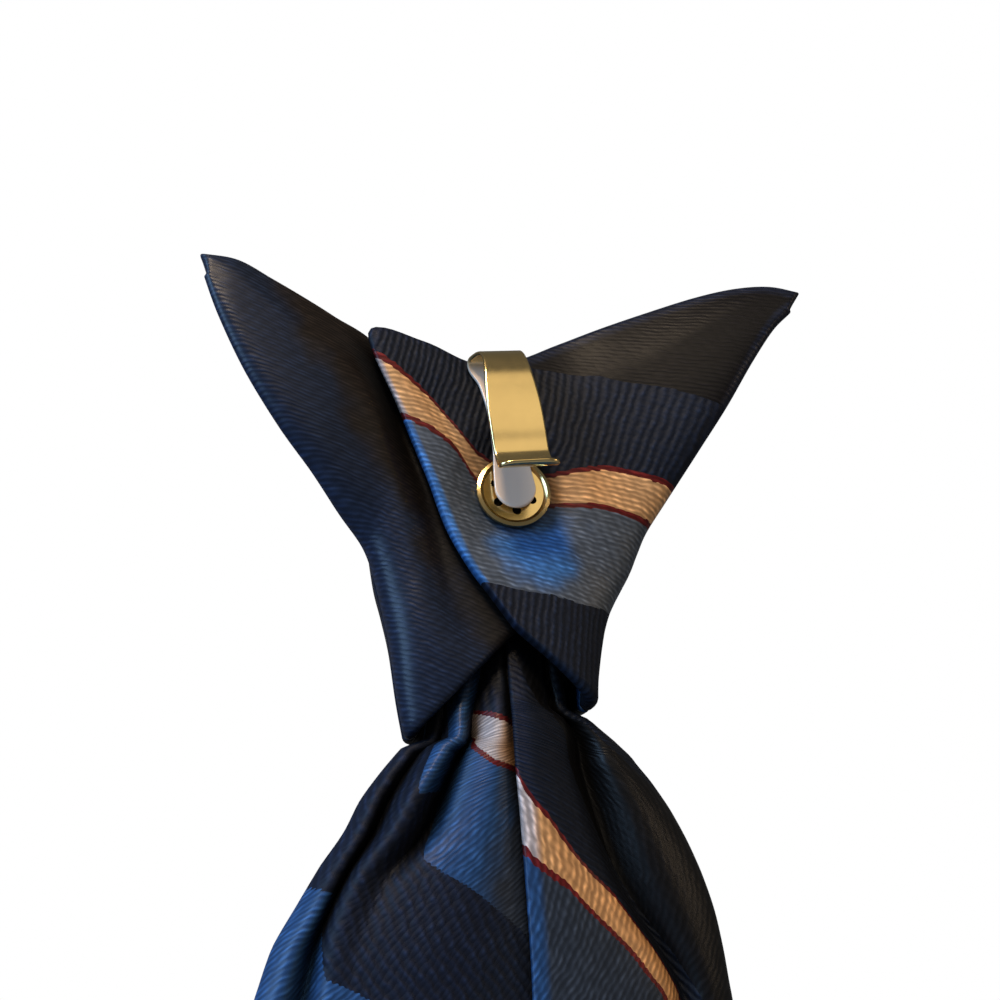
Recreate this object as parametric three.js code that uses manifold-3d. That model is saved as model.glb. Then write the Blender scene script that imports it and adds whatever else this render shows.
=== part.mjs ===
// A ready-knotted necktie that clips on a collar, seen in the photo from its back.
// Millimetres, +Z up. -Y is the back of the knot, where the clip is; +Y is the show side; +X is right in the photo.
// The working frame has its origin on the cloth's back plane at the washer's centre. The exported group is moved
// so that its origin is in the clip's slot, where the collar's edge hangs.
import * as THREE from 'three';
import { mergeVertices } from 'three/addons/utils/BufferGeometryUtils.js';
import Module from 'manifold-3d';

// Driving dimensions
const WING_REACH = 42; // from the washer out to a wing's tip
const KNOT_HEIGHT = 54; // from the mouth's lower corner up to the knot's top edge
const KNOT_DEPTH = 20; // from the back panel to the knot's front
const BAND_CLOTH = 2; // folded cloth of the bands and wings
const FRONT_CLOTH = 1.6; // cloth of the knot's front
const BLADE_CLOTH = 1; // cloth of the blade
const TIE_LENGTH = 508; // from the knot's top to the blade's tip
const FAN_HALF_WIDTH = 27.5; // the blade where the fan of gathers ends
const BLADE_HALF_WIDTH = 41.5; // the blade at its widest, above the tip
const TIP_SLOPE = 1; // rise of the pointed end for each millimetre from the middle
const GAP = 0.3; // clearance between pieces that touch
const DIMPLE_DEPTH = 1; // the washer pulls the cloth in
const DIMPLE_SLOPE = 6; // from the washer's edge out to where the cloth is level again
const UNDER_SLACK = 0.3; // room between the two bands where one covers the other, besides the clearance
const SIDE_SHARE = 0.35; // how far round the knot's side the bands reach, as a share of its depth
const STRIP_THICKNESS = 0.6;
const TONGUE_WIDTH = 5.5;
const LEAF_WIDTH = 7.4;
const CLIP_HEIGHT = 19; // from the washer's centre to the top of the bend
const SLOT_GAP = 5.2; // between the tongue and the leaf
const LIP_FLARE = 3.6; // how far the lip stands out from the leaf
const CLIP_LEAN = THREE.MathUtils.degToRad(9);
const WASHER_RADIUS = 5;
const WASHER_FLOOR = 0.5;
const WASHER_RIM = 0.35; // height of the rim above the floor
const WASHER_ROUNDING = 0.2; // at the washer's outer edges
const RIM_WIDTH = 0.9;
const HOLE_RADIUS = 0.6;
const HOLE_CIRCLE = 2.7;
const HOLE_COUNT = 6;
const HOOK_HEIGHT = 14; // the origin above the washer's centre

// Levels that several pieces share, along Y
const PANEL_LEVEL = BAND_CLOTH / 2;
const UNDER_LEVEL = PANEL_LEVEL + BAND_CLOTH + GAP + UNDER_SLACK;
const SIDE_LEVEL = SIDE_SHARE * KNOT_DEPTH;
const WASHER_BACK = DIMPLE_DEPTH - GAP;
const WASHER_FACE = WASHER_BACK - WASHER_FLOOR;
const TONGUE_LEVEL = WASHER_FACE - WASHER_RIM - GAP - STRIP_THICKNESS / 2;
const LEAF_LEVEL = TONGUE_LEVEL - STRIP_THICKNESS - SLOT_GAP;
const HOOK_LEVEL = (TONGUE_LEVEL + LEAF_LEVEL) / 2;

// How fine each piece's mesh is: sections along it and points across a section
const RIGHT_MESH = [38, 14];
const LEFT_MESH = [28, 13];
const FRONT_MESH = [16, 21];
const BLADE_STEPS = 58;
const STRIP_MESH = [44, 7];
const WASHER_SIDES = 32;
const HOLE_SIDES = 12;

// Colours
const SATIN_NAVY = 0x1b2230;
const RIBBED_NAVY = 0x232a3a;
const STRIPE_BLUE = 0x3a6294;
const PALE_GOLD = 0xd9b567;

const clamp = THREE.MathUtils.clamp;
const lerp = THREE.MathUtils.lerp;
const smooth = THREE.MathUtils.smoothstep;

// A row's named columns as one list each
function columns(names, rows) {
  return Object.fromEntries(names.map((name, i) => [name, rows.map((row) => row[i])]));
}

// A smooth value at u, from 0 at the first row to 1 at the last
function along(values, u) {
  const at = clamp(u, 0, 1) * (values.length - 1);
  const i = Math.min(Math.floor(at), values.length - 2);
  const f = at - i;
  const b = values[i];
  const c = values[i + 1];
  const a = values[i - 1] ?? 2 * b - c;
  const d = values[i + 2] ?? 2 * c - b;
  return b + 0.5 * f * (c - a + f * (2 * a - 5 * b + 4 * c - d + f * (3 * (b - c) + d - a)));
}

// Joins rows of points into one closed wall, half its thickness to each side of them
function wall(rows, thickness) {
  const high = rows.length;
  const wide = rows[0].length;
  const half = thickness / 2;
  const points = [];
  for (const side of [half, -half]) {
    for (let i = 0; i < high; i += 1) {
      for (let j = 0; j < wide; j += 1) {
        const down = rows[Math.min(i + 1, high - 1)][j].clone().sub(rows[Math.max(i - 1, 0)][j]);
        const across = rows[i][Math.min(j + 1, wide - 1)].clone().sub(rows[i][Math.max(j - 1, 0)]);
        const normal = across.cross(down).normalize();
        points.push(rows[i][j].clone().addScaledVector(normal, side));
      }
    }
  }
  const at = (side, i, j) => side * high * wide + i * wide + j;
  const faces = [];
  const quad = (a, b, c, d) => faces.push(a, b, c, a, c, d);
  for (let i = 0; i < high - 1; i += 1) {
    for (let j = 0; j < wide - 1; j += 1) {
      quad(at(0, i, j), at(0, i, j + 1), at(0, i + 1, j + 1), at(0, i + 1, j));
      quad(at(1, i, j), at(1, i + 1, j), at(1, i + 1, j + 1), at(1, i, j + 1));
    }
    quad(at(0, i, 0), at(0, i + 1, 0), at(1, i + 1, 0), at(1, i, 0));
    quad(at(0, i, wide - 1), at(1, i, wide - 1), at(1, i + 1, wide - 1), at(0, i + 1, wide - 1));
  }
  for (let j = 0; j < wide - 1; j += 1) {
    quad(at(0, 0, j), at(1, 0, j), at(1, 0, j + 1), at(0, 0, j + 1));
    quad(at(0, high - 1, j), at(0, high - 1, j + 1), at(1, high - 1, j + 1), at(1, high - 1, j));
  }
  return outward(points, faces);
}

// A geometry from points and faces, turned so that its faces point out
function outward(points, faces) {
  let volume = 0;
  for (let i = 0; i < faces.length; i += 3) {
    const [a, b, c] = [points[faces[i]], points[faces[i + 1]], points[faces[i + 2]]];
    volume += a.dot(b.clone().cross(c));
  }
  const geometry = new THREE.BufferGeometry().setFromPoints(points);
  geometry.setIndex(volume < 0 ? faces.slice().reverse() : faces);
  geometry.computeVertexNormals();
  return geometry;
}

function piece(name, geometry, color, metalness, roughness) {
  const mesh = new THREE.Mesh(geometry, new THREE.MeshStandardMaterial({ color, metalness, roughness }));
  mesh.name = name;
  return mesh;
}

// The bands. Each row is a section from the band's upper or folded edge to its outer edge: across as a share of
// WING_REACH, up of KNOT_HEIGHT, level along Y of KNOT_DEPTH. Cover is the share of a section that lies flat
// under the other band.
const BAND_COLUMNS = ['edgeX', 'edgeZ', 'edgeY', 'middleY', 'outX', 'outZ', 'outY', 'cover'];
const UNDER = UNDER_LEVEL / KNOT_DEPTH;
const PANEL = PANEL_LEVEL / KNOT_DEPTH;
const SIDE = SIDE_LEVEL / KNOT_DEPTH;
const LEFT_ROWS = [
  [-1.03, 0.512, -0.26, -0.26, -1.0, 0.455, -0.25, 0],
  [-0.92, 0.518, -0.22, -0.25, -0.93, 0.35, -0.19, 0],
  [-0.812, 0.492, -0.16, -0.21, -0.84, 0.231, -0.12, 0],
  [-0.714, 0.466, -0.1, -0.16, -0.724, 0.111, -0.03, 0],
  [-0.61, 0.441, -0.01, -0.1, -0.614, 0.019, 0.08, 0],
  [-0.476, 0.412, 0.12, -0.02, -0.52, -0.063, 0.21, 0.12],
  [-0.333, 0.3, UNDER, 0.05, -0.438, -0.13, 0.32, 0.3],
  [-0.226, 0.167, UNDER, 0.08, -0.395, -0.204, SIDE, 0.36],
  [-0.143, 0.028, UNDER, 0.1, -0.365, -0.285, SIDE, 0.4],
  [-0.076, -0.111, UNDER, 0.1, -0.335, -0.374, SIDE, 0.42],
  [0, -0.222, UNDER, 0.12, -0.307, -0.493, SIDE, 0.36],
  [0.062, -0.307, UNDER, 0.15, -0.279, -0.591, SIDE, 0.24],
];
const RIGHT_ROWS = [
  [0.995, 0.607, -0.35, -0.35, 0.95, 0.55, -0.34, 0],
  [0.893, 0.626, -0.31, -0.32, 0.876, 0.496, -0.28, 0],
  [0.774, 0.624, -0.24, -0.28, 0.796, 0.404, -0.2, 0],
  [0.643, 0.6, -0.17, -0.22, 0.706, 0.281, -0.11, 0],
  [0.483, 0.556, -0.09, -0.14, 0.6, 0.148, 0.03, 0],
  [0.312, 0.501, -0.02, -0.06, 0.516, 0.041, 0.18, 0],
  [0.155, 0.446, PANEL, 0, 0.45, -0.044, 0.28, 0],
  [0, 0.381, PANEL, 0.03, 0.418, -0.104, 0.33, 0],
  [-0.155, 0.363, PANEL, 0.04, 0.394, -0.152, SIDE, 0],
  [-0.321, 0.395, -0.01, PANEL, 0.366, -0.193, SIDE, 0],
  [-0.49, 0.394, -0.07, PANEL, 0.34, -0.23, SIDE, 0],
  [-0.379, 0.202, 0.01, PANEL, 0.317, -0.267, SIDE, 0],
  [-0.276, 0.019, 0.03, PANEL, 0.298, -0.311, SIDE, 0],
  [-0.21, -0.107, 0.04, PANEL, 0.285, -0.356, SIDE, 0],
  [-0.148, -0.191, 0.045, PANEL, 0.274, -0.404, SIDE, 0],
  [-0.076, -0.263, 0.045, PANEL, 0.265, -0.452, SIDE, 0],
  [0.005, -0.344, 0.045, PANEL, 0.26, -0.507, SIDE, 0],
];
const SETTLE = 0.35; // share of a section in which it leaves its edge's level
const ROLL_POWER = 4; // how late a section turns round the knot's side
const ROLL_SPACING = 1.7; // how much closer the points of a section lie where it turns

function dimple(x, z) {
  const edge = WASHER_RADIUS + GAP;
  return DIMPLE_DEPTH * (1 - smooth(Math.hypot(x, z), edge, edge + DIMPLE_SLOPE));
}

function bandRows(table, sections, steps) {
  const c = columns(BAND_COLUMNS, table);
  const rows = [];
  for (let i = 0; i < sections; i += 1) {
    const u = i / (sections - 1);
    const v = Object.fromEntries(BAND_COLUMNS.map((name) => [name, along(c[name], u)]));
    const row = [];
    for (let j = 0; j < steps; j += 1) {
      const t = 1 - (1 - j / (steps - 1)) ** ROLL_SPACING;
      const turn = 1 - (1 - t ** ROLL_POWER) ** (1 / ROLL_POWER);
      const x = WING_REACH * lerp(v.edgeX, v.outX, t);
      const z = KNOT_HEIGHT * lerp(v.edgeZ, v.outZ, t);
      const settled = smooth(t, v.cover, v.cover + SETTLE);
      const level = lerp(v.edgeY, v.middleY, settled) + (v.outY - v.middleY) * turn;
      row.push(new THREE.Vector3(x, KNOT_DEPTH * level + dimple(x, z), z));
    }
    rows.push(row);
  }
  return rows;
}

// The knot's front: the places of its left and right edges, which meet the bands, and its front level
const FRONT_COLUMNS = ['leftX', 'leftZ', 'rightX', 'rightZ', 'sideY', 'frontY'];
const FRONT_ROWS = [
  [-0.279, -0.591, 0.26, -0.507, SIDE, 0.68],
  [-0.307, -0.493, 0.269, -0.426, SIDE, 0.73],
  [-0.335, -0.374, 0.291, -0.333, SIDE, 0.79],
  [-0.365, -0.285, 0.321, -0.259, SIDE, 0.84],
  [-0.395, -0.204, 0.366, -0.193, SIDE, 0.88],
  [-0.425, -0.074, 0.408, -0.074, 0.34, 0.93],
  [-0.45, 0.074, 0.438, 0.074, 0.31, 0.97],
  [-0.466, 0.204, 0.46, 0.204, 0.28, 0.98],
  [-0.471, 0.287, 0.471, 0.287, 0.26, 0.88],
  [-0.452, 0.326, 0.457, 0.326, 0.25, 0.62],
  [-0.438, 0.331, 0.443, 0.331, 0.245, 0.38],
];
const FRONT_POWER = 3; // squareness of the knot's front section

function frontRows(sections, steps) {
  const c = columns(FRONT_COLUMNS, FRONT_ROWS);
  const rows = [];
  for (let i = 0; i < sections; i += 1) {
    const u = i / (sections - 1);
    const v = Object.fromEntries(FRONT_COLUMNS.map((name) => [name, along(c[name], u)]));
    const row = [];
    for (let j = 0; j < steps; j += 1) {
      const angle = (Math.PI * j) / (steps - 1);
      const cos = Math.cos(angle);
      const s = 0.5 - 0.5 * Math.sign(cos) * Math.abs(cos) ** (2 / FRONT_POWER);
      const out = Math.sin(angle) ** (2 / FRONT_POWER);
      const x = WING_REACH * lerp(v.leftX, v.rightX, s);
      const z = KNOT_HEIGHT * lerp(v.leftZ, v.rightZ, s);
      const y = KNOT_DEPTH * lerp(v.sideY, v.frontY, out) + GAP;
      row.push(new THREE.Vector3(x, y, z));
    }
    rows.push(row);
  }
  return rows;
}

// The blade, as one strip folded round at both edges. A row for each section: its height as a share of
// KNOT_HEIGHT, and its half-widths to both sides as shares of FAN_HALF_WIDTH.
const BLADE_ROWS = [
  [-0.29, 0.3, 0.28],
  [-0.4, 0.315, 0.29],
  [-0.47, 0.325, 0.3],
  [-0.512, 0.335, 0.315],
  [-0.535, 0.34, 0.43],
  [-0.596, 0.358, 0.58],
  [-0.612, 0.45, 0.62],
  [-0.67, 0.54, 0.71],
  [-0.73, 0.621, 0.79],
  [-0.8, 0.685, 0.86],
  [-0.87, 0.775, 0.915],
  [-0.95, 0.861, 0.96],
  [-1.03, 0.945, 0.985],
  [-1.13, 1, 1.005],
  [-1.4, 1.06, 1.05],
  [-1.85, 1.1, 1.1],
  [-2.5, 1.135, 1.14],
  [-3.33, 1.17, 1.17],
];
// The gathers under the knot, which flatten out below it: a row for each place round a section, and a column for
// each height below the washer, as a share of KNOT_HEIGHT. The left flap has its free edge under the right one,
// then a panel, a rolled pleat between two valleys, and its outer fold. The right flap has an outer fold, a valley,
// a slope and a panel that ends at the seam.
const FOLD_HEIGHTS = [0.29, 0.41, 0.52, 0.63, 0.76, 0.91, 1.11, 1.85, 3.33];
// Across, as shares of the section's half-width, to the left below zero
const FOLD_PLACES = {
  free: [0.29, 0.3, 0.29, 0.19, 0.22, 0.26, 0.31, 0.34, 0.34],
  seam: [0.01, 0.01, 0.02, 0.03, 0.05, 0.07, 0.09, 0.09, 0.09],
  panel: [-0.08, -0.08, -0.11, -0.14, -0.17, -0.24, -0.35, -0.35, -0.35],
  shoulder: [-0.19, -0.2, -0.28, -0.35, -0.38, -0.53, -0.55, -0.53, -0.52],
  deepValley: [-0.31, -0.33, -0.44, -0.455, -0.49, -0.65, -0.645, -0.62, -0.62],
  roll: [-0.53, -0.55, -0.63, -0.63, -0.69, -0.79, -0.74, -0.72, -0.72],
  leftValley: [-0.75, -0.76, -0.82, -0.835, -0.845, -0.86, -0.83, -0.83, -0.82],
  leftFold: [-0.9, -0.9, -0.915, -0.94, -0.925, -0.92, -0.92, -0.925, -0.92],
  rightFold: [0.86, 0.875, 0.905, 0.765, 0.74, 0.77, 0.88, 0.9, 0.895],
  rightValley: [0.69, 0.71, 0.74, 0.585, 0.545, 0.595, 0.785, 0.81, 0.795],
  slope: [0.49, 0.525, 0.56, 0.39, 0.39, 0.475, 0.675, 0.695, 0.68],
  rightPanel: [0.23, 0.25, 0.25, 0.17, 0.195, 0.26, 0.365, 0.375, 0.365],
};
// Levels along Y, as shares of KNOT_DEPTH
const FOLD_LEVELS = {
  seam: [0.38, 0.33, 0.245, 0.22, 0.22, 0.22, 0.23, 0.26, 0.28],
  panel: [0.37, 0.305, 0.195, 0.16, 0.155, 0.16, 0.175, 0.24, 0.285],
  shoulder: [0.385, 0.335, 0.245, 0.22, 0.22, 0.2, 0.195, 0.25, 0.285],
  deepValley: [0.4, 0.375, 0.335, 0.365, 0.38, 0.245, 0.21, 0.26, 0.285],
  roll: [0.38, 0.33, 0.225, 0.165, 0.16, 0.205, 0.23, 0.27, 0.285],
  leftValley: [0.41, 0.385, 0.34, 0.355, 0.375, 0.375, 0.365, 0.32, 0.285],
  leftFold: [0.41, 0.39, 0.34, 0.295, 0.26, 0.25, 0.26, 0.275, 0.285],
  edge: [0.465, 0.47, 0.455, 0.43, 0.41, 0.385, 0.365, 0.345, 0.34],
  front: [0.52, 0.54, 0.55, 0.545, 0.52, 0.485, 0.455, 0.42, 0.405],
  rightFold: [0.39, 0.37, 0.32, 0.275, 0.265, 0.265, 0.27, 0.265, 0.245],
  rightValley: [0.4, 0.395, 0.38, 0.42, 0.415, 0.39, 0.36, 0.28, 0.23],
  slope: [0.33, 0.3, 0.25, 0.235, 0.23, 0.23, 0.23, 0.23, 0.215],
  rightPanel: [0.295, 0.25, 0.16, 0.145, 0.14, 0.15, 0.16, 0.185, 0.205],
};
const FREE_UNDER = 0.5; // the left flap's free edge lies this much deeper than the flap does at the seam
const LAP_IN = 0.1; // the right flap's free edge lies this much deeper than its panel
const FRONT_SHARES = [-0.9, -0.6, -0.2, 0.2, 0.6, 0.9]; // points across the front layer
const FRONT_CROWN = 0.6; // the front layer stands this much prouder in its middle

// Where a height lies among FOLD_HEIGHTS, from 0 at the first to 1 at the last
function foldShare(up) {
  const last = FOLD_HEIGHTS.length - 1;
  const above = FOLD_HEIGHTS.findLastIndex((height) => height <= -up);
  const i = clamp(above, 0, last - 1);
  return clamp((i + (-up - FOLD_HEIGHTS[i]) / (FOLD_HEIGHTS[i + 1] - FOLD_HEIGHTS[i])) / last, 0, 1);
}

function bladeSection(up, left, right) {
  const at = foldShare(up);
  const across = (share) => share * FAN_HALF_WIDTH * (share < 0 ? left : right);
  const place = (name) => across(along(FOLD_PLACES[name], at));
  const level = (name) => KNOT_DEPTH * along(FOLD_LEVELS[name], at);
  const point = (name) => new THREE.Vector2(place(name), level(name));
  const seam = place('seam');
  return [
    new THREE.Vector2(place('free'), level('seam') + FREE_UNDER),
    ...['seam', 'panel', 'shoulder', 'deepValley', 'roll', 'leftValley', 'leftFold'].map(point),
    new THREE.Vector2(across(-1), level('edge')),
    ...FRONT_SHARES.map((s) => new THREE.Vector2(across(s), level('front') - FRONT_CROWN * (1 - s * s))),
    new THREE.Vector2(across(1), level('edge')),
    ...['rightFold', 'rightValley', 'slope', 'rightPanel'].map(point),
    new THREE.Vector2(seam, level('rightPanel') + LAP_IN),
  ];
}

// Sections below the table: how far down to the blade's widest place, and how much of the point is cut there
const END_ROWS = [
  [0.5, 0],
  [1, 0],
  [1, 0.5],
  [1, 1],
];

function bladeRows(steps) {
  const top = KNOT_HEIGHT * FRONT_ROWS[FRONT_ROWS.length - 1][1];
  const tip = top - TIE_LENGTH;
  const corner = tip + TIP_SLOPE * BLADE_HALF_WIDTH;
  const sections = BLADE_ROWS.map((row) => ({ z: KNOT_HEIGHT * row[0], ring: bladeSection(...row), point: 0 }));
  const last = BLADE_ROWS[BLADE_ROWS.length - 1];
  const widest = BLADE_HALF_WIDTH / FAN_HALF_WIDTH;
  for (const [share, point] of END_ROWS) {
    const width = lerp(last[1], widest, share);
    const z = lerp(KNOT_HEIGHT * last[0], corner, share);
    sections.push({ z, ring: bladeSection(last[0], width, width), point });
  }
  return sections.map(({ z, ring, point }) => {
    const curve = new THREE.CatmullRomCurve3(ring.map((p) => new THREE.Vector3(p.x, p.y, 0)), false, 'centripetal');
    const row = [];
    for (let j = 0; j < steps; j += 1) {
      const p = curve.getPoint(j / (steps - 1));
      const drop = point * TIP_SLOPE * Math.max(BLADE_HALF_WIDTH - Math.abs(p.x), 0);
      row.push(new THREE.Vector3(p.x, p.y, z - drop));
    }
    return row;
  });
}

// The clip's strip, from the tongue's round end over the bend to the lip. Out is its level from the tongue to the
// leaf, up its height as a share of CLIP_HEIGHT, lip its share of LIP_FLARE, wide its share of LEAF_WIDTH.
const STRIP_COLUMNS = ['out', 'up', 'lip', 'wide'];
const TONGUE_SHARE = TONGUE_WIDTH / LEAF_WIDTH;
const STRIP_ROWS = [
  [0, -TONGUE_WIDTH / 2 / CLIP_HEIGHT, 0, TONGUE_SHARE],
  [0, 0, 0, TONGUE_SHARE],
  [0, 0.15, 0, 0.68],
  [0, 0.3, 0, 0.58],
  [0, 0.6, 0, 0.54],
  [0, 0.83, 0, 0.7],
  [0.04, 0.94, 0, 1],
  [0.18, 0.995, 0, 1.06],
  [0.42, 1, 0, 0.92],
  [0.68, 0.97, 0, 0.8],
  [0.9, 0.9, 0, 0.8],
  [1, 0.79, 0, 0.86],
  [1.03, 0.64, 0, 0.95],
  [1.04, 0.48, 0, 1],
  [1.02, 0.32, 0, 1],
  [0.98, 0.19, 0, 0.99],
  [0.98, 0.11, 0.03, 0.98],
  [1, 0.045, 0.16, 0.99],
  [1, 0.005, 0.42, 1.02],
  [1, -0.012, 0.72, 1.05],
  [1, -0.012, 1, 1.04],
];
const LIP_CORNER = 1; // how far the lip's rounded corners are set back

function stripRows(sections, steps) {
  const c = columns(STRIP_COLUMNS, STRIP_ROWS);
  const points = c.up.map((up, i) => new THREE.Vector3(
    0,
    lerp(TONGUE_LEVEL, LEAF_LEVEL, c.out[i]) - LIP_FLARE * c.lip[i],
    CLIP_HEIGHT * up,
  ));
  const path = new THREE.CatmullRomCurve3(points, false, 'centripetal');
  const length = path.getLength();
  const rows = [];
  for (let i = 0; i < sections; i += 1) {
    const row = [];
    for (let j = 0; j < steps; j += 1) {
      const s = (2 * j) / (steps - 1) - 1;
      const shorter = 1 - Math.sqrt(Math.max(1 - s * s, 0));
      const from = ((TONGUE_WIDTH / 2) * shorter) / length;
      const to = 1 - (LIP_CORNER * shorter * s * s) / length;
      const share = lerp(from, to, i / (sections - 1));
      const u = path.getUtoTmapping(share);
      const p = path.getPoint(u);
      const half = (LEAF_WIDTH * along(c.wide, u)) / 2;
      row.push(new THREE.Vector3(s * half, p.y, p.z));
    }
    rows.push(row);
  }
  return rows;
}

// A solid for joining and cutting, from a geometry's points alone
const wasm = await Module();
wasm.setup();

function solid(geometry) {
  const bare = geometry.clone();
  bare.deleteAttribute('normal');
  bare.deleteAttribute('uv');
  const merged = mergeVertices(bare, 1e-5);
  return new wasm.Manifold(new wasm.Mesh({
    numProp: 3,
    vertProperties: new Float32Array(merged.attributes.position.array),
    triVerts: new Uint32Array(merged.index.array),
  }));
}

function geometryOf(body) {
  const mesh = body.getMesh();
  const geometry = new THREE.BufferGeometry();
  geometry.setAttribute('position', new THREE.BufferAttribute(mesh.vertProperties, 3));
  geometry.setIndex(new THREE.BufferAttribute(mesh.triVerts, 1));
  geometry.computeVertexNormals();
  return geometry;
}

// The washer, turned round its axis along Y, with its holes cut through
function washerGeometry() {
  const inner = WASHER_RADIUS - RIM_WIDTH;
  const profile = [
    [0, 0],
    [WASHER_RADIUS - WASHER_ROUNDING, 0],
    [WASHER_RADIUS, WASHER_ROUNDING],
    [WASHER_RADIUS, WASHER_FLOOR + WASHER_RIM - WASHER_ROUNDING],
    [WASHER_RADIUS - RIM_WIDTH / 2, WASHER_FLOOR + WASHER_RIM],
    [inner, WASHER_FLOOR],
    [0, WASHER_FLOOR],
  ];
  let body = solid(new THREE.LatheGeometry(profile.map(([r, h]) => new THREE.Vector2(r, h)), WASHER_SIDES));
  for (let i = 0; i < HOLE_COUNT; i += 1) {
    const angle = ((i + 0.5) * 2 * Math.PI) / HOLE_COUNT;
    const hole = new THREE.CylinderGeometry(HOLE_RADIUS, HOLE_RADIUS, 4 * WASHER_FLOOR, HOLE_SIDES);
    hole.translate(HOLE_CIRCLE * Math.cos(angle), WASHER_FLOOR / 2, HOLE_CIRCLE * Math.sin(angle));
    body = body.subtract(solid(hole));
  }
  return geometryOf(body);
}

const tie = new THREE.Group();
tie.position.set(0, -HOOK_LEVEL, -HOOK_HEIGHT);

tie.add(piece('right_band', wall(bandRows(RIGHT_ROWS, ...RIGHT_MESH), BAND_CLOTH), STRIPE_BLUE, 0, 0.5));
tie.add(piece('left_band', wall(bandRows(LEFT_ROWS, ...LEFT_MESH), BAND_CLOTH), SATIN_NAVY, 0, 0.45));
tie.add(piece('knot_front', wall(frontRows(...FRONT_MESH), FRONT_CLOTH), RIBBED_NAVY, 0, 0.55));
tie.add(piece('blade', wall(bladeRows(BLADE_STEPS), BLADE_CLOTH), RIBBED_NAVY, 0, 0.55));

const clip = new THREE.Group();
clip.rotation.y = -CLIP_LEAN;
clip.add(piece('clip_strip', wall(stripRows(...STRIP_MESH), STRIP_THICKNESS), PALE_GOLD, 1, 0.25));
const washer = piece('clip_washer', washerGeometry(), PALE_GOLD, 1, 0.3);
washer.rotation.x = Math.PI;
washer.position.y = WASHER_BACK;
clip.add(washer);
tie.add(clip);

const group = new THREE.Group();
group.add(tie);

export default group;
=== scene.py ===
"""Looks of a ready-knotted tie that clips on a collar, seen in the photo from its back.

Metres, +Z up. -Y is the back of the knot, where the clip is, and +X is right in the photo. The pieces repeat the
sizes and short tables of the CAD part, in millimetres from the washer's centre on the cloth's back plane, and are
made from them as finer meshes. to_frame() turns such a point into the frame's metres.
"""

import math

import bpy
import numpy as np
from mathutils import Matrix, Vector


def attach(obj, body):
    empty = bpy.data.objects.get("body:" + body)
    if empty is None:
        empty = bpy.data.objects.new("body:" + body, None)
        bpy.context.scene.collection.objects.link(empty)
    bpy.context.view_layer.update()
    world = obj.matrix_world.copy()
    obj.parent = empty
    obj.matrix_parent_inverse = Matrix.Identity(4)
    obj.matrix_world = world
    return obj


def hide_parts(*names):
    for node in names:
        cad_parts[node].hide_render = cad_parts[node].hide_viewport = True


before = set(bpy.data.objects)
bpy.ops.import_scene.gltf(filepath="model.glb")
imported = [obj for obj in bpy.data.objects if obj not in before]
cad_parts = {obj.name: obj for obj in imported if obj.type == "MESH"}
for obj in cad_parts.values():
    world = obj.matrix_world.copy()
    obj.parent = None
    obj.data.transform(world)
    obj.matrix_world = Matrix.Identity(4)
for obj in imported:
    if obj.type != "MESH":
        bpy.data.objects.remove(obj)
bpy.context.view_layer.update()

# Driving dimensions, in millimetres
WING_REACH = 42.0
KNOT_HEIGHT = 54.0
KNOT_DEPTH = 20.0
BAND_CLOTH = 2.0
FRONT_CLOTH = 1.6
BLADE_CLOTH = 1.0
TIE_LENGTH = 508.0
FAN_HALF_WIDTH = 27.5
BLADE_HALF_WIDTH = 41.5
TIP_SLOPE = 1.0
GAP = 0.3
UNDER_SLACK = 0.3
SIDE_SHARE = 0.35
DIMPLE_DEPTH = 1.0
DIMPLE_SLOPE = 6.0
STRIP_THICKNESS = 0.6
TONGUE_WIDTH = 5.5
LEAF_WIDTH = 7.4
CLIP_HEIGHT = 19.0
SLOT_GAP = 5.2
LIP_FLARE = 3.6
CLIP_LEAN = math.radians(9)
WASHER_RADIUS = 5.0
WASHER_FLOOR = 0.5
WASHER_RIM = 0.35
RIM_WIDTH = 0.9
WASHER_ROUNDING = 0.2
RIM_ROUNDING = 0.15
HOLE_RADIUS = 0.6
HOLE_CIRCLE = 2.7
HOLE_COUNT = 6
CUTTER_DEPTH = 4.0
HOOK_HEIGHT = 14.0

# How finely each grid is made, as its rows and the steps in a row, and the shares of these that its rims take
RIGHT_GRID = (120, 60)
LEFT_GRID = (110, 50)
FRONT_GRID = (60, 110)
BLADE_GRID = (260, 260)
STRIP_GRID = (160, 28)
BAND_RIMS = (0.012, 0.02)
FRONT_RIMS = (0.015, 0.012)
STRIP_RIMS = (0.006, 0.05)
BLADE_RIM = 0.004
TIP_ROWS = 24
CURVE_STEPS = 2001
WASHER_SIDES = 96
HOLE_SIDES = 32

# Levels that several pieces share, along Y
PANEL_LEVEL = BAND_CLOTH / 2
UNDER_LEVEL = PANEL_LEVEL + BAND_CLOTH + GAP + UNDER_SLACK
SIDE_LEVEL = SIDE_SHARE * KNOT_DEPTH
WASHER_BACK = DIMPLE_DEPTH - GAP
WASHER_FACE = WASHER_BACK - WASHER_FLOOR
TONGUE_LEVEL = WASHER_FACE - WASHER_RIM - GAP - STRIP_THICKNESS / 2
LEAF_LEVEL = TONGUE_LEVEL - STRIP_THICKNESS - SLOT_GAP
HOOK_LEVEL = (TONGUE_LEVEL + LEAF_LEVEL) / 2

# The camera and what it looks at
MM = 0.001
CAMERA_TO_WASHER = 133.0
CAMERA_AZIMUTH = math.radians(-12)
CAMERA_ELEVATION = math.radians(-24)
IMAGE_SIDE = 1000
FOCAL_PIXELS = 1000
WASHER_PIXEL = (514, 491)
SENSOR = 36.0


def to_frame(points):
    """Points in millimetres from the washer's centre, in the frame's metres."""
    return (np.asarray(points, float) + (0, -HOOK_LEVEL, -HOOK_HEIGHT)) * MM


def lerp(a, b, t):
    return a + (b - a) * t


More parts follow.
